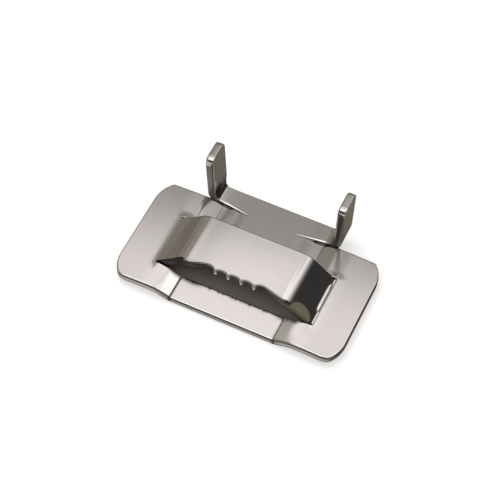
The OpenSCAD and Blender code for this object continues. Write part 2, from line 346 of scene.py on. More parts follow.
# %% Wings
NEAR = 0.01  # slack when two places are compared
DROOP, DROOP_R = 2.8, 20.0
FRONT_SOFT, REAR_SOFT = 0.9, 0.15
wing_half = bent_line(WING_Z, [([], -DROOP, DROOP_R), (run(3.4, 0.4), 0, 0)], facet=0.7)
wing_half[:, 0] += FOOT_X
tilt = np.radians(-DROOP)
last_x, last_z = wing_half[-1, :2]
arc = np.linspace(np.arccos((CORNER_L - ROLL) / (CORNER_R - ROLL)), np.pi / 2, 14)
arc_x = PLATE_X - CORNER_R + (CORNER_R - ROLL) * np.sin(arc)
tip_x = np.concatenate([np.linspace(last_x, arc_x[0], 4)[1:], arc_x[1:]])
tip = np.stack([tip_x, last_z + (tip_x - last_x) * np.tan(tilt), np.full(len(tip_x), tilt)], -1)
wing_line = np.concatenate([wing_half, tip])


def wing(line):
    """Grid of one wing: the rows of the front bar, the bridge and the rear bar stacked along y, with the corner
    arcs taken off the first and the last of them."""
    front = strip(line, FRONT_Y + ROLL + corner_drop(line[:, 0], FRONT_SOFT), flat(line, SLIT_FRONT - TIGHT),
                  front_rows, (ROLL, TIGHT))
    middle = strip(line, flat(line, BRIDGE_FRONT + TIGHT), flat(line, BRIDGE_REAR - TIGHT),
                   bridge_rows, (TIGHT, TIGHT))
    rear = strip(line, flat(line, SLIT_REAR + TIGHT), REAR_Y - ROLL - corner_drop(line[:, 0], REAR_SOFT),
                 rear_rows, (TIGHT, ROLL))
    points, normals, roll = (np.concatenate([front[k], middle[k], rear[k]], 1) for k in range(3))
    return points, normals, np.where(np.abs(points[..., 0]) > FOOT_X + NEAR, ROLL, roll)


grids += [wing(wing_line), wing((wing_line * [-1, 1, -1])[::-1])]
print("wing grid:", grids[-1][0].shape[:2])

# %% [markdown]
# The strip behind the rear bar is a grid of its own, bent up at both ends. An ear widens a little above the strip,
# and its top corners are round: near the top the rows draw in along a quarter circle. In the middle, the strip's
# first row is the rear bar's last row.

# %% Ear strip
EAR_H, FLARE, HEEL, STRIP_DEEP = 11.2, 1.2, 2.0, 4.4
TINY = 1e-9


def smooth_step(share):
    """Turns a share into a soft one: 0 below 0, 1 above 1, and three squares less two cubes between them."""
    share = np.clip(share, 0, 1)
    return share ** 2 * (3 - 2 * share)


ear_mid_r = EAR_R + HALF
bend = np.radians(EAR_BEND)
ear_up = (EAR_H + HALF - ear_mid_r * (1 - np.cos(bend))) / np.sin(bend)
top_r = EAR_CORNER - ROLL
round_off = ear_up - EAR_CORNER + top_r * np.sin(np.linspace(0, np.pi / 2, 10)[1:])
ear_rise = np.concatenate([run(ear_up - EAR_CORNER, 0.6), round_off])
arch_stations = rear_half[1:][rear_half[1:, 0] <= ARCH_X + TINY, 0]
strip_stations = np.concatenate([arch_stations, ARCH_X + run(CHANNEL_X - ARCH_X, 0.4)])
ear_half = bent_line(STRIP_Z, [(strip_stations, EAR_BEND, EAR_R), (ear_rise, 0, 0)])
ear_line = both_sides(ear_half)
above = np.clip(ear_rise - (ear_up - EAR_CORNER), 0, top_r)
draw_in = np.concatenate([np.zeros(len(ear_half) - len(ear_rise)), top_r - np.sqrt(top_r ** 2 - above ** 2)])
draw_in = np.concatenate([draw_in[:0:-1], draw_in])
low_roll = relief_roll(ear_line[:, 0])
ear_low = np.interp(np.abs(ear_line[:, 0]), [ARCH_X, CHANNEL_X], [REAR_Y - RELIEF, REAR_Y]) + low_roll + draw_in
heel = smooth_step((ear_line[:, 1] - STRIP_Z) / (HEEL + HALF))
ear_high = EAR_Y - ROLL - FLARE * (1 - heel) - draw_in
strip_rows = shares(STRIP_DEEP, [0.15, 0.4], 0.4)
grids.append(strip(ear_line, ear_low, ear_high, strip_rows, (low_roll, ROLL)))

joined = ear_line[np.abs(ear_line[:, 0]) <= ARCH_X + TINY]
grids.append(strip(joined, flat(joined, REAR_Y - RELIEF - SLIT - TIGHT), flat(joined, REAR_Y - RELIEF + TIGHT),
                   np.array([0.0, 1.0]), (TIGHT, TIGHT)))
print("ear strip:", grids[-2][0].shape[:2], "top of the ears at", round(ear_line[0, 1], 2), "mm")

# %% [markdown]
# ## One surface
# The grids become one list of points and one list of four-sided faces. Points that agree to a micrometre are the
# same point. An edge that belongs to only one face is a cut edge of the sheet.

# %% Join the grids
def joined_surface(parts):
    """Stack all grid points, merge those that round to the same micrometre, and renumber the faces."""
    points, normals, rolls, faces, first = [], [], [], [], 0
    for p, n, r in parts:
        cols, rows = p.shape[:2]
        index = first + np.arange(cols * rows).reshape(cols, rows)
        faces.append(np.stack([index[:-1, :-1], index[1:, :-1], index[1:, 1:], index[:-1, 1:]], -1).reshape(-1, 4))
        points.append(p.reshape(-1, 3))
        normals.append(n.reshape(-1, 3))
        rolls.append(r.reshape(-1))
        first += cols * rows
    points, normals, rolls, faces = (np.concatenate(v) for v in (points, normals, rolls, faces))
    _, kept, same = np.unique(np.round(points, 3), axis=0, return_index=True, return_inverse=True)
    return points[kept], normals[kept], rolls[kept], same.reshape(-1)[faces]


middle, normal, roll, quads = joined_surface(grids)
ends = quads[:, [0, 1, 1, 2, 2, 3, 3, 0]].reshape(-1, 2)
_, which, times = np.unique(np.sort(ends, 1), axis=0, return_inverse=True, return_counts=True)
cut = ends[times[which.reshape(-1)] == 1]
print(len(middle), "points,", len(quads), "faces,", len(cut), "cut edges")

# %% [markdown]
# A press never leaves the sheet quite flat. Where the bridge was pulled up, the sheet around its feet is drawn down a
# little, and the punch left a shallow witness line just above the right foot. Both are slopes that come and go along
# x, so their height is a slope summed up, and the middle of the sheet moves by it along its normal.

# %% Dish the feet
DISH_AHEAD, DISH_BEHIND = 2.5, 1.2


def climb(x, stations, degrees):
    """Height gained from the last station inwards to x, where the slope runs in straight lines through the
    degrees."""
    at = np.linspace(stations[0], stations[-1], 400)
    pitch = np.tan(np.radians(np.interp(at, stations, degrees)))
    gained = (at[1] - at[0]) * np.cumsum(pitch[::-1])[::-1]
    return np.interp(x, at, gained)


def on_bridge(points):
    """Whether a point lies between the feet and between the two slits."""
    x, y = np.abs(points[:, 0]), points[:, 1]
    return (x < FOOT_X) & (y > BRIDGE_FRONT - NEAR) & (y < BRIDGE_REAR + NEAR)


def dished(points):
    """Height in millimetres of the dish at the feet and of the witness line. The dish fades in front of the slits,
    behind them, and up the legs; the witness line fades at both its ends."""
    x, y = np.abs(points[:, 0]), points[:, 1]
    on_right = points[:, 0] > 0
    witness = climb(x, [13.95, 14.05, 14.3, 14.42, 14.85, 15.05], [0.0, -30.0, -30.0, 12.0, 26.0, 0.0])
    witness *= np.interp(y, [-5.6, -4.6, -0.2, 0.8], [0, 1, 1, 0]) * on_right * on_bridge(points)
    right = climb(x, [FOOT_X, FOOT_X + 0.01, FOOT_X + 1.8], [0.0, 8.0, 0.0])
    left = climb(x, [FOOT_X - 0.8, FOOT_X - 0.1, FOOT_X + 1.1], [0.0, 13.0, 0.0])
    beside = 1 - np.maximum((SLIT_FRONT - y) / DISH_AHEAD, (y - SLIT_REAR) / DISH_BEHIND)
    up_leg = np.where(on_right, (x - 15.0) / 0.12, (x - 12.0) / 3.0)
    inwards = np.where(on_bridge(points), up_leg, 1 - (FOOT_X - x) / 2.5)
    return np.where(on_right, right, left) * smooth_step(beside) * smooth_step(inwards) + witness


dish = dished(middle)
middle = middle + normal * dish[:, None]
print("the feet are dished by up to", round(float(dish.max()), 2), "mm")

# %% [markdown]
# The middle of the front bar is coined: a flat punch presses it a little thinner, which leaves a crisp crease round
# the flat. It could be cut out with a boolean, but a depth that depends on the distance from the flat's outline gives
# the same step without new edges. The same distance later tells the material where the crease is.

# %% Coin the front bar
COIN_DEEP, COIN_CORNER, COIN_STEP = 0.2, 0.9, 0.1


def coin_distance(points):
    """Distance from the outline of the coined flat, negative inside it: the outline is straight at the sides and has
    quarter circles at the two inner corners."""
    across = np.clip(np.abs(points[:, 0]) - (CHANNEL_X - COIN_CORNER), 0, None)
    along = np.clip(points[:, 1] - (SLIT_FRONT - COIN_CORNER), 0, None)
    return np.hypot(across, along) - COIN_CORNER


def on_front_bar(points, above):
    """Whether a point lies in front of the front slit, at most so many millimetres above the bar's own level."""
    return (points[:, 1] < SLIT_FRONT + NEAR) & (points[:, 2] < FLOOR_Z + above)


def coined(points):
    """Depth of the flat that is pressed into the front bar: full inside its outline, fading over one step at the
    sides and round the two inner corners."""
    inside = np.clip(0.5 - coin_distance(points) / COIN_STEP, 0, 1)
    return np.where(on_front_bar(points, 0.3), COIN_DEEP * inside, 0.0)


top_h = HALF - coined(middle)
print("the sheet's top lies", top_h.max(), "mm above its middle, and", round(top_h.min(), 3), "mm on the coined flat")

# %% [markdown]
# ## Thickness and sheared edges
# A punch rounds the edge on the side where it enters, then shears, then tears, and leaves a sharper edge below.
# So the rim is a small profile carried along every cut edge: a quarter of an ellipse at the top, a straight wall,
# and a tighter round at the bottom. Each cut point gets an outward direction from the two edges that meet there.

# %% Offset the faces and carry the rim profile
BURR, WALL_DOWN, ROUND_TALL, ROUND_RATIO = 0.14, 0.75, 0.42, 1.4
MITRE_LIMIT = 1.2


def outward(points, normals, edges):
    """Outward direction at each cut point: the sum of its two edges' outward normals, lengthened so that an offset
    keeps its distance from both edges."""
    a, b = edges.T
    along = points[b] - points[a]
    side = np.cross(along, normals[a] + normals[b])
    side /= np.linalg.norm(side, axis=1, keepdims=True)
    total = np.zeros_like(points)
    np.add.at(total, a, side)
    np.add.at(total, b, side)
    size = (total ** 2).sum(1, keepdims=True)
    return 2 * total / np.clip(size, MITRE_LIMIT, None)


out = outward(middle, normal, cut)
rim = np.unique(cut)
t, u = np.linspace(0, np.pi / 2, 7), np.linspace(0, np.pi / 2, 3)[1:]
wide = roll[rim][:, None]
tall = np.minimum(ROUND_RATIO * wide, ROUND_TALL)
profile_out = np.concatenate([wide * np.sin(t), wide + np.zeros((1, 2)), wide - BURR * (1 - np.cos(u))], 1)
profile_down = np.concatenate([tall * (1 - np.cos(t)), 0 * wide + [WALL_DOWN, SHEET - BURR],
                               0 * wide + SHEET - BURR * (1 - np.sin(u))], 1)
heights = top_h[rim][:, None] - profile_down * ((top_h[rim] + HALF) / SHEET)[:, None]
rings = (middle[rim][:, None] + out[rim][:, None] * profile_out[..., None]
         + normal[rim][:, None] * heights[..., None])

upper = middle + normal * top_h[:, None]
lower = middle - normal * HALF
upper[rim], lower[rim] = rings[:, 0], rings[:, -1]
walls = rings[:, 1:-1]
print("rim points:", walls.shape)

# %% [markdown]
# The faces of the rim join neighbouring rings. The number of a ring's point depends on where it sits: the first
# belongs to the upper face, the last to the lower face, and those between have numbers of their own.

# %% Number the faces
n, k = len(middle), walls.shape[1]
place = np.full(n, -1)
place[rim] = np.arange(len(rim))
ring_ids = np.concatenate([rim[:, None], 2 * n + np.arange(len(rim) * k).reshape(-1, k), n + rim[:, None]], 1)
a, b = ring_ids[place[cut[:, 0]]], ring_ids[place[cut[:, 1]]]
rim_faces = np.stack([a[:, :-1], a[:, 1:], b[:, 1:], b[:, :-1]], -1).reshape(-1, 4)
faces = np.concatenate([quads, quads[:, ::-1] + n, rim_faces])
points = np.concatenate([upper, lower, walls.reshape(-1, 3)]) * MM
print(len(faces), "faces, of which the rim has", len(rim_faces))

# %% [markdown]
# ## The mesh
# Blender keeps a mesh in long lists: the places of the points, the corners of the faces, and where each face's
# corners begin. `foreach_set` fills such a list from an array at once, which is much quicker than adding faces one
# by one. The finished sheet takes the place of the plain CAD part and rides on its body.

# %% Make the buckle
def mesh_piece(name, verts, quads):
    """Mesh object at the origin from an array of points and an array of four-sided faces."""
    mesh = bpy.data.meshes.new(name)
    mesh.vertices.add(len(verts))
    mesh.vertices.foreach_set("co", verts.astype(np.float32).ravel())
    mesh.loops.add(quads.size)
    mesh.loops.foreach_set("vertex_index", quads.astype(np.int32).ravel())
    mesh.polygons.add(len(quads))
    mesh.polygons.foreach_set("loop_start", np.arange(0, quads.size, 4, dtype=np.int32))
    mesh.polygons.foreach_set("use_smooth", np.ones(len(quads), bool))
    mesh.update(calc_edges=True)
    mesh.validate()
    piece = bpy.data.objects.new(name, mesh)
    scene.collection.objects.link(piece)
    return piece


buckle = mesh_piece("formed_sheet", points, faces)
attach(buckle, "root")
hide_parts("buckle")
print("buckle mesh:", len(buckle.data.vertices), "points,", len(buckle.data.polygons), "faces")

# %% [markdown]
# ## Torn edges, painted shade and painted highlights
# A stamped part looks real by what the press did to it: torn edges. Here the creases, bends and edges also get
# painted shade, and a few places a painted highlight. Painting that by hand would need an image. Here each mark is a
# number at every point of the mesh, an attribute, worked out from where the point lies, and the material reads it by
# name. The first is how rough the cut edges are. Narrow streaks of the toothed wall between the teeth stay light: a
# painted highlight, where the ridges between the teeth would catch the light.

# %% Torn edges
RIDGES, RIDGE_WIDTH = (1.23, 3.69), 0.26
LEG_X, BRIDGE_MID_Y = 9.4, -2.0


def torn(points):
    """How rough a cut edge is: 1 where the punch tore the sheet, a fifth at the ears' tops, and 0 on the burnished
    front edge and in the two relief slits, which are sheared without tearing."""
    x, y, z = np.abs(points[:, 0]), points[:, 1], points[:, 2]
    relief = (y > REAR_Y - RELIEF - SLIT - 0.1) & (y < REAR_Y + 0.5) & (x < EAR_OUT_X) & (z < STRIP_Z + 0.3)
    smooth = np.where(z > ear_line[0, 1] - 1.0, 0.2, np.where(y < SLIT_FRONT - 1.0, 0.0, 1.0))
    return np.where(relief, 0.0, smooth)


def bell(distance, width):
    """Bell curve: 1 at no distance, about a third at one width."""
    return np.exp(-(distance / width) ** 2)


def ridge(points):
    """Closeness to the four points between the teeth: a bell curve of x round each of them, 1 at its middle."""
    x = np.abs(points[:, 0])
    return sum(bell(x - at_x, RIDGE_WIDTH) for at_x in RIDGES)


at, depth = middle[rim], profile_down[:, 1:-1]
leg = on_bridge(at) & (np.abs(at[:, 0]) > LEG_X)
toothed = on_bridge(at) & (at[:, 1] < BRIDGE_MID_Y) & ~leg
# Near those points the toothed wall keeps its light tone: painted highlights between the teeth.
away_from_highlight = 1 - toothed * ridge(at)
ring_tone = (away_from_highlight * torn(at))[:, None] * np.interp(depth, [0.1, 0.4, 1.3], [0.0, 1.0, 1.0])
edge_tone = np.concatenate([np.zeros(2 * n), ring_tone.ravel()])
print("edge points that are torn:", int((edge_tone > 0.5).sum()), "of", ring_tone.size)

# %% [markdown]
# Painted shade darkens the faces where shade gathers: along the coined crease, in the ears' bends, and where the rear
# bar's ramps begin. Each place is a function, strongest in its middle, that fades to 0.

# %% Painted shade in the creases
def near_crease(points):
    """Painted shade along the outline of the coined flat, a quarter of a millimetre wide."""
    return bell(coin_distance(points), 0.26) * on_front_bar(points, 0.1)


def ear_base(points):
    """Painted shade in the bends of the ears: strongest just above the strip, gone 4 mm higher."""
    height = np.interp(points[:, 2] - STRIP_Z, [0.2, 0.9, 2.2, 4.2], [0, 0.75, 0.6, 0])
    return height * (np.abs(points[:, 0]) > CHANNEL_X) * (points[:, 1] > REAR_Y - NEAR)


def rear_creases(points):
    """Painted shade in the two creases where the rear bar's ramps begin, fading towards the slit and the rear edge.
    """
    fade = np.interp(points[:, 1], [3.0, 5.0, 7.6, 7.9], [0, 0.6, 0.6, 0])
    return bell(np.abs(points[:, 0]) - CHANNEL_X, 0.14) * fade * (points[:, 2] < FLOOR_Z + 0.3)


painted_shade = sum(mark(middle) for mark in (near_crease, ear_base, rear_creases))
print("face points under film:", int((painted_shade > 0.3).sum()), "of", n)

# %% [markdown]
# Three more places of this buckle are darkened: a painted dark reflection of the ear on the left rear ramp, uneven
# darker patches along the front bar's lanced edge, and painted shade in the witness line.

# %% Painted reflection and shade
def painted_ear_reflection(points):
    """Painted dark reflection of the ear on the left rear ramp: a wedge that is widest at the rear edge, crisp
    towards the wing, and soft towards the middle."""
    x, y = points[:, 0], points[:, 1]
    outer, inner = np.interp(y, [5.2, 7.9], [-13.1, -13.7]), np.interp(y, [5.2, 7.9], [-12.9, -11.9])
    wedge = np.clip((x - outer) / 0.15, 0, 1) * np.clip((inner - x) / (inner - outer), 0, 1)
    return 0.95 * wedge * (y > 5.0) * (points[:, 2] < WING_Z + 0.1)


def ragged(points):
    """Darker in uneven patches along the front bar's lanced edge: three sine waves of x added, and only their crests
    kept.
    """
    x, y = points[:, 0], points[:, 1]
    crest = np.clip((np.sin(4.1 * x + 0.5) + np.sin(7.3 * x + 2.0) + np.sin(2.3 * x)) - 0.6, 0, 1)
    ends = np.clip(9.0 - np.abs(x), 0, 1)
    return 0.8 * crest * bell(SLIT_FRONT - y, 0.5) * ends * on_front_bar(points, 0.1)


def witness_shade(points):
    """Painted shade in the witness line above the right foot, fading at both its ends."""
    fade = np.interp(points[:, 1], [-5.8, -5.3, -0.2, 0.6], [0, 0.95, 0.95, 0])
    return bell(points[:, 0] - 14.74, 0.19) * fade * on_bridge(points)


painted_shade = painted_shade + sum(mark(middle) for mark in (painted_ear_reflection, ragged, witness_shade))
print("face points under film:", int((painted_shade > 0.3).sum()), "of", n)

# %% [markdown]
# Painted shade darkens the cut edges just under the round, so from above the plate gets a thin dark outline, except
# at the relief slits. The legs' edges, the ears' front edges and the toothed wall get painted shade as well, and on
# the right leg's front wall a lighter band is left, where the painted shade is weaker.

# %% Painted shade on the edges
RELIEF_Y, RELIEF_REACH = 7.5, 0.9
ear_front = (at[:, 2] > STRIP_Z + 1.0) & (at[:, 1] < REAR_Y + 0.6)
outline = (roll[rim] > 0.25) & (at[:, 2] < WING_Z + 0.1) & ~leg & ~toothed
outline &= np.abs(at[:, 1] - RELIEF_Y) > RELIEF_REACH
lighter_band = np.interp(at[:, 0], [9.8, 10.8, 13.2, 14.2], [0, 1, 1, 0]) * (at[:, 1] < BRIDGE_MID_Y)
leg_tone = 0.9 - 0.75 * lighter_band[:, None] * np.interp(depth, [0.3, 0.45], [0, 1])
dark_band = np.interp(depth, [0.05, 0.2, 0.45, 0.75], [0.0, 0.95, 0.95, 0.15])
# Painted shade on the rim: the dark outline, the legs, the toothed wall and the ears' front rounds. The face points
# of the legs' and ears' edges get painted shade too.
shade = near_crease(at)[:, None] + outline[:, None] * dark_band + leg[:, None] * leg_tone
shade += 0.85 * (toothed * away_from_highlight)[:, None] * (depth > 0.3) + 0.5 * ear_front[:, None] * (depth < 0.3)
painted_shade[rim] += 0.9 * leg + 0.4 * ear_front
crease = np.clip(np.concatenate([painted_shade, np.zeros(n), shade.ravel()]), 0, 1)
print("edge points under film:", int((shade > 0.3).sum()), "of", shade.size)

# %% [markdown]
# The front corner of the right leg gets a painted tan patch, dull and brownish: a painted reflection. In plan the
# patch is part of an ellipse round a point of the leg's front edge.

# %% Painted tan patch
def painted_reflection_patch(points):
    """Painted tan patch, a painted reflection, at the front corner of the right leg: 1 inside an ellipse in plan, 0
    outside it, with a soft border a tenth of its radius wide."""
    away = np.hypot((points[:, 0] - 12.2) / 1.95, (points[:, 1] - BRIDGE_FRONT) / 2.0)
    return np.clip((1.0 - away) / 0.1, 0, 1) * on_bridge(points)


painted_patch = np.concatenate([painted_reflection_patch(middle), np.zeros(n), (painted_reflection_patch(at)[:, None] * (depth < 1.25)).ravel()])
print("matt points:", int((painted_patch > 0.5).sum()))

# %% [markdown]
# The bars and the bridge's top are nearly flat, but polished steel shows a slope of a few degrees as a change of
# tone. As shapes, these slopes would push the front bar into the floor and bow the edges, so they stay out of the
# mesh: a height in millimetres is kept at each point, and the material turns the normal by it.

# %% Bow of the flats
REAR_BOW, FRONT_BOW = np.tan(np.radians([2.5, 9.0]))


def bow(points):
    """Height in millimetres by which the faces leave the flat. A bar's height is its slope times the way along y, so
    the rear bar falls towards the ears and the front bar to its front edge. The bridge's crown is a slope along x
    summed up, and on the left it reaches a little further out."""
    x, y = np.abs(points[:, 0]), points[:, 1]
    rear = -REAR_BOW * (y - SLIT_REAR) * np.clip((10.5 - x) / 3.5, 0, 1) * (points[:, 2] < STRIP_Z + 0.3)
    front = FRONT_BOW * (y - (FRONT_Y + SLIT_FRONT) / 2) * np.clip((FOOT_X - x) / 2.6, 0, 1)
    bars = np.where(y > SLIT_REAR - NEAR, rear, np.where(y < SLIT_FRONT + NEAR, front, 0.0))
    right = climb(x, [1.0, BRIDGE_X, 10.5], [0.0, 4.5, 0.0])
    left = climb(x, [0.0, 4.0, 7.5, 8.6, 10.0, 11.2], [0.0, 3.0, 6.0, 4.0, -5.0, 0.0])
    return bars + on_bridge(points) * np.where(points[:, 0] > 0, right, left * right.max() / left.max())


sag = np.concatenate([bow(middle), np.zeros(n), np.repeat(bow(at), k)])
print("the flats bow by", round(float(sag.min()), 2), "to", round(float(sag.max()), 2), "mm")

# %% [markdown]
# Each of the four lists has one number for every point, in the order of the mesh: upper face, lower face, rim. They
# are stored as float attributes of the points, which the material can look up by name.

# %% Store the marks on the mesh
# The crease list holds painted shade, and the list of the tan patch a painted reflection.
for title, values in (("sheared", edge_tone), ("crease", crease), ("painted_patch", painted_patch), ("sag", sag)):
    buckle.data.attributes.new(title, "FLOAT", "POINT").data.foreach_set("value", values.astype(np.float32))
print("attributes:", [mark.name for mark in buckle.data.attributes if mark.data_type == "FLOAT"])

# %% [markdown]
# ## Stainless sheet
# Bright rolled stainless has fine lines along the rolling direction, soft marks from handling, and cut edges that
# are duller than the faces. A material is a tree of nodes, and a group is a tree that can be used as one node. Two
# helpers make a group and add a node, so that each line below reads like a sentence.

# %% Node helpers
def group(name, inputs, outputs):
    """Empty shader node group with the given sockets, each a name, a kind and a starting value."""
    tree = bpy.data.node_groups.new(name, "ShaderNodeTree")
    for title, kind, value in inputs:
        socket = tree.interface.new_socket(title, in_out="INPUT", socket_type=kind)
        if value is not None:
            socket.default_value = value
    for title, kind in outputs:
        tree.interface.new_socket(title, in_out="OUTPUT", socket_type=kind)
    return tree, tree.nodes.new("NodeGroupInput"), tree.nodes.new("NodeGroupOutput")


def add(tree, kind, links=(), **settings):
    """New node with settings and with its inputs linked or set: each of links is (input, output or value)."""
    node = tree.nodes.new(kind)
    for key, value in settings.items():
        setattr(node, key, value)
    for key, source in links:
        if isinstance(source, bpy.types.NodeSocket):
            tree.links.new(source, node.inputs[key])
        else:
            node.inputs[key].default_value = source
    return node


print("node helpers:", [helper.__name__ for helper in (group, add)])

# %% [markdown]
# Three kinds of node come up again and again: one that calculates, one that carries a value over to another range,
# and one that mixes two colours. Each gets a helper that gives back its result, ready for the next node.

# %% Values and colours
def calc(tree, operation, *values):
    """Result of one sum, product or the like of up to three values."""
    return add(tree, "ShaderNodeMath", list(enumerate(values)), operation=operation).outputs[0]


def ramp(tree, value, start, end, low=0.0, high=1.0, kind="LINEAR"):
    """Value that goes from low to high while the given one goes from start to end, and stays level outside."""
    limits = [("Value", value), ("From Min", start), ("From Max", end), ("To Min", low), ("To Max", high)]
    return add(tree, "ShaderNodeMapRange", limits, interpolation_type=kind).outputs[0]


def blend(tree, share, base, tone):
    """Colour that goes from base to tone while the share goes from 0 to 1."""
    return add(tree, "ShaderNodeMix", [(0, share), (6, base), (7, tone)], data_type="RGBA").outputs[2]


print("more helpers:", [helper.__name__ for helper in (calc, ramp, blend)])

# %% [markdown]
# Rolling draws the steel's surface out into long, fine lines. Noise that is stretched along x gives such lines, and
# plain noise gives the soft marks. Both sit in a node group, so their sizes can be changed in one place.

# %% Rolled grain
grain_tree, grain_in, grain_out = group(
    "rolled_grain",
    [("Place", "NodeSocketVector", None), ("Along", "NodeSocketFloat", 160.0), ("Across", "NodeSocketFloat", 4200.0)],
    [("Lines", "NodeSocketFloat"), ("Marks", "NodeSocketFloat")])
along, across = grain_in.outputs["Along"], grain_in.outputs["Across"]
stretch = add(grain_tree, "ShaderNodeCombineXYZ", [("X", along), ("Y", across), ("Z", across)])
drawn = add(grain_tree, "ShaderNodeVectorMath", [(0, grain_in.outputs["Place"]), (1, stretch.outputs[0])],
            operation="MULTIPLY")
lines = add(grain_tree, "ShaderNodeTexNoise", [("Vector", drawn.outputs[0]), ("Scale", 1.0), ("Detail", 3.0)])
marks = add(grain_tree, "ShaderNodeTexNoise", [("Vector", grain_in.outputs["Place"]), ("Scale", 220.0),
                                               ("Detail", 4.0), ("Roughness", 0.6)])
grain_tree.links.new(lines.outputs["Fac"], grain_out.inputs["Lines"])
grain_tree.links.new(marks.outputs["Fac"], grain_out.inputs["Marks"])
print("group", grain_tree.name, "has", len(grain_tree.nodes), "nodes")

# %% [markdown]
# The colour is built up in layers: bare steel that varies slightly with the marks, then the torn edges, the painted
# shade, and the painted tan patch. Where the patch is full, the surface no longer reflects as a metal.

# %% Steel colour
steel = bpy.data.materials.new("bright_stainless")
steel.use_nodes = True
tree = steel.node_tree
shader = tree.nodes["Principled BSDF"]
grain = add(tree, "ShaderNodeGroup", [("Place", add(tree, "ShaderNodeTexCoord").outputs["Object"])],
            node_tree=grain_tree)
sheared, painted_shade_fac, painted_patch_fac, sagged = (
    add(tree, "ShaderNodeAttribute", attribute_name=title).outputs["Fac"]
    for title in ("sheared", "crease", "painted_patch", "sag"))
colour = blend(tree, grain.outputs["Marks"], (0.612, 0.608, 0.599, 1), (0.632, 0.628, 0.619, 1))
colour = blend(tree, sheared, colour, (0.13, 0.125, 0.115, 1))
# Painted shade: the creases, bends and edges marked above turn nearly black.
colour = blend(tree, painted_shade_fac, colour, (0.035, 0.032, 0.029, 1))
# Painted reflection: the tan patch on the right leg, which also stops being metal.
colour = blend(tree, ramp(tree, painted_patch_fac, 0.0, 0.5), colour, (0.12, 0.112, 0.078, 1))
tree.links.new(colour, shader.inputs["Base Color"])
tree.links.new(ramp(tree, painted_patch_fac, 0.5, 1.0, 1.0, 0.0), shader.inputs["Metallic"])
buckle.data.materials.append(steel)
print("material", steel.name, "has", len(tree.nodes), "nodes for its colour")

# %% [markdown]
# How sharp the reflections are is a number of its own, the roughness. It is low on the faces, a little higher where
# the marks are, and high on torn edges and on the painted tan patch. The normal is turned twice: by the bow of the
# flats, and very slightly by the lines of the rolling.

# %% Steel gloss
gloss = ramp(tree, grain.outputs["Marks"], 0.3, 0.7, 0.16, 0.19)
dull = calc(tree, "MULTIPLY_ADD", sheared, 0.22, gloss)
tree.links.new(calc(tree, "MULTIPLY_ADD", painted_patch_fac, 0.3, dull), shader.inputs["Roughness"])
slope = add(tree, "ShaderNodeBump", [("Strength", 1.0), ("Distance", 0.001), ("Height", sagged)])
bump = add(tree, "ShaderNodeBump", [("Strength", 0.012), ("Distance", 0.0001), ("Height", grain.outputs["Lines"]),
                                    ("Normal", slope.outputs[0])])
tree.links.new(bump.outputs[0], shader.inputs["Normal"])
print("material", steel.name, "has", len(tree.nodes), "nodes in all")

# %% [markdown]
# ## Light
# Polished steel shows the room more than itself. A photographer hangs one big soft light over a small metal part and
# keeps the sides dark, so that flat faces are pale, slopes are dark, and bends show the step between them. Here the
# world is that room: bright overhead, brown-grey towards the sides, nearly black low on the right and low in front,
# with one bright window high in front. Each of these is a lobe round a direction, laid over those before it.

# %% World
ROOM_TONE = (0.34, 0.30, 0.25, 1)
LOBES = (  # direction, cosines at which the lobe begins and is full, colour
    ((0.25, 0.05, 0.97), 0.55, 0.9, (1.2, 1.15, 1.13, 1)),
    ((0.46, 0.49, 0.74), 0.86, 0.96, (1.5, 1.46, 1.45, 1)),
    ((-0.72, 0.50, 0.48), 0.95, 0.99, (0.25, 0.22, 0.185, 1)),
    ((-0.76, 0.26, 0.59), 0.95, 0.99, (0.56, 0.51, 0.46, 1)),
    ((0.90, 0.43, 0.10), 0.62, 0.97, (0.03, 0.028, 0.026, 1)),
    ((-0.235, -0.489, 0.84), 0.90, 0.97, (2.6, 2.5, 2.45, 1)),
    ((-0.1, -0.9, 0.3), 0.80, 0.95, (0.04, 0.038, 0.034, 1)))

world = bpy.data.worlds.new("studio")
scene.world = world
world.use_nodes = True
room = world.node_tree
room.nodes.clear()
seen = add(room, "ShaderNodeTexCoord").outputs["Generated"]
tint = ROOM_TONE
for direction, begin, full, tone in LOBES:
    unit = np.asarray(direction, float) / np.linalg.norm(direction)
    cosine = add(room, "ShaderNodeVectorMath", [(0, seen), (1, unit.tolist())], operation="DOT_PRODUCT")
    tint = blend(room, ramp(room, cosine.outputs["Value"], begin, full, kind="SMOOTHSTEP"), tint, tone)
glow = add(room, "ShaderNodeBackground", [("Color", tint), ("Strength", 1.0)])
room.links.new(glow.outputs[0], add(room, "ShaderNodeOutputWorld").inputs[0])
print("world", world.name, "has", len(LOBES), "lobes and", len(room.nodes), "nodes")

# %% [markdown]
# The floor is pale, and only soft shadows show on it. Rays that the steel sends down meet a warmer, darker table, as
# under the real part, which keeps the undersides and the ears from washing out. Right under the part the table is
# painted darker, a painted shadow, and the camera sees it there through the openings. The light path node tells the
# camera's rays from the others, so one plane can be both. It lies a hair below the part, so that the two faces don't
# fall into each other.

# %% Floor
FLOOR_DROP = 0.00002


def sheet_grid(name, x, y, z):
    """Level rectangle: the points of x by y at one height, with its upper side up."""
    grid = np.stack(np.meshgrid(x, y, [z], indexing="ij"), -1).reshape(-1, 3)
    i = np.arange(len(x) * len(y)).reshape(len(x), len(y))
    return mesh_piece(name, grid, np.stack([i[:-1, :-1], i[1:, :-1], i[1:, 1:], i[:-1, 1:]], -1).reshape(-1, 4))


def bare_material(piece, name):
    """New material on a piece, without nodes: its tree, and the x, y and z of a point in the piece's own frame."""
    material = bpy.data.materials.new(name)
    material.use_nodes = True
    tree = material.node_tree
    tree.nodes.clear()
    piece.data.materials.append(material)
    own = add(tree, "ShaderNodeTexCoord").outputs["Object"]
    return tree, add(tree, "ShaderNodeSeparateXYZ", [("Vector", own)]).outputs


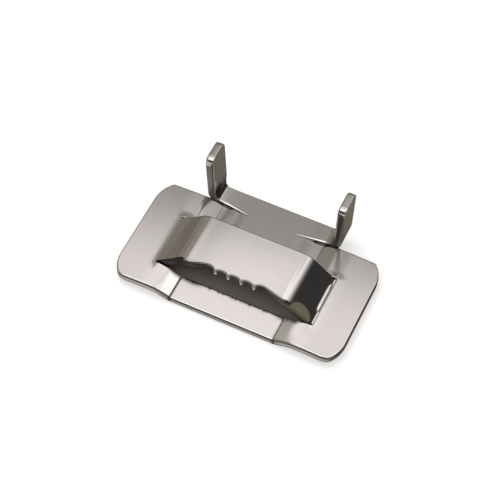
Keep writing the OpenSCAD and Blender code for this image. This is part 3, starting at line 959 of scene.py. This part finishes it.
floor = sheet_grid("floor", np.linspace(-2, 2, 5), np.linspace(-2, 2, 5), -FLOOR_DROP)
ground, spot = bare_material(floor, "pale_table")
from_middle = calc(ground, "ADD", spot["Y"], 0.0015)
under = calc(ground, "MULTIPLY", ramp(ground, calc(ground, "ABSOLUTE", spot["X"]), 0.018, 0.014),
             ramp(ground, calc(ground, "ABSOLUTE", from_middle), 0.0095, 0.0085))
table = blend(ground, ramp(ground, spot["Y"], 0.006, 0.012), (0.26, 0.235, 0.20, 1), (0.15, 0.137, 0.115, 1))
table = blend(ground, ramp(ground, spot["Y"], -0.0125, -0.0145), table, (0.85, 0.84, 0.83, 1))
# Painted shadow: right under the part the table is darker.
table = blend(ground, under, table, (0.19, 0.183, 0.168, 1))
warm = add(ground, "ShaderNodeBsdfDiffuse", [("Color", table)])
lit = add(ground, "ShaderNodeBsdfDiffuse", [("Color", (0.93, 0.93, 0.925, 1))])
pale = add(ground, "ShaderNodeEmission", [("Color", (1, 1, 1, 1)), ("Strength", 1.0)])
seen_floor = add(ground, "ShaderNodeMixShader", [(0, 0.45), (1, pale.outputs[0]), (2, lit.outputs[0])])
camera_ray = add(ground, "ShaderNodeLightPath").outputs["Is Camera Ray"]
shown = calc(ground, "MULTIPLY", camera_ray, calc(ground, "SUBTRACT", 1.0, under))
either = add(ground, "ShaderNodeMixShader", [(0, shown), (1, warm.outputs[0]), (2, seen_floor.outputs[0])])
ground.links.new(either.outputs[0], add(ground, "ShaderNodeOutputMaterial").inputs[0])
print("floor of", len(floor.data.polygons), "faces,", FLOOR_DROP / MM, "mm below the part")

# %% [markdown]
# A white card hangs over the part, and only its reflection is seen. Towards its far edge it gets darker, so flat
# faces run from nearly white at the front to grey at the back, which tells the eye that they are level and polished.
# The run is drawn further back on the right, and the sides of the card are a little weaker.

# %% Card
FADE = (  # share of the way back, colour
    (0.02, (1.24, 1.15, 1.12, 1)), (0.12, (1.40, 1.29, 1.26, 1)), (0.35, (1.20, 1.11, 1.08, 1)),
    (0.5, (0.93, 0.87, 0.85, 1)), (0.68, (0.60, 0.575, 0.555, 1)), (0.86, (0.34, 0.33, 0.305, 1)),
    (0.99, (0.38, 0.36, 0.33, 1)))

card = sheet_grid("card", np.array([-0.095, 0.065]), np.array([-0.01, 0.12]), 0.12)
shine, on_card = bare_material(card, "card_glow")
drawn_back = calc(shine, "SUBTRACT", on_card["Y"], ramp(shine, on_card["X"], -0.012, 0.06, 0.0, 0.0144))
fade = add(shine, "ShaderNodeValToRGB", [(0, ramp(shine, drawn_back, 0.05, 0.09))])
stops = fade.color_ramp.elements
for share, tone in FADE:
    stops.new(share).color = tone
stops.remove(stops[0])
stops.remove(stops[-1])
left_side = ramp(shine, on_card["X"], -0.05, -0.075, 1.0, 0.88, "SMOOTHSTEP")
right_side = ramp(shine, on_card["X"], -0.012, 0.008, 1.0, 0.88, "SMOOTHSTEP")
far_tone = ramp(shine, on_card["Y"], 0.057, 0.071, 1.65, 0.7, "SMOOTHSTEP")
far_right = ramp(shine, on_card["X"], 0.014, 0.032, 1.0, far_tone, "SMOOTHSTEP")
strength = calc(shine, "MULTIPLY", calc(shine, "MULTIPLY", left_side, right_side), far_right)
lighting = add(shine, "ShaderNodeEmission", [("Color", fade.outputs[0]), ("Strength", strength)])
shine.links.new(lighting.outputs[0], add(shine, "ShaderNodeOutputMaterial").inputs[0])
card.visible_camera = card.visible_diffuse = card.visible_shadow = card.visible_transmission = False
print("card of", len(card.data.polygons), "face with", len(stops), "stops of colour")

# %% [markdown]
# One soft lamp from behind on the left gives the floor its faint shadow. It is hidden from reflections, because the
# card and the room already make those. The standard view transform shows the tones as they were set.

# %% Lamp
LAMP_PLACE = Vector((-0.16, 0.12, 0.42))
lamp = bpy.data.objects.new("soft_lamp", bpy.data.lights.new("soft_lamp", "AREA"))
scene.collection.objects.link(lamp)
lamp.data.energy, lamp.data.size = 1.2, 0.25
facing = LAMP_PLACE.to_track_quat("Z", "Y").to_matrix().to_4x4()
lamp.matrix_world = Matrix.Translation(LAMP_PLACE) @ facing
lamp.visible_glossy = False
scene.view_settings.view_transform = "Standard"
print("lamp of", round(lamp.data.energy, 2), "W,", round(lamp.data.size, 2), "m wide")
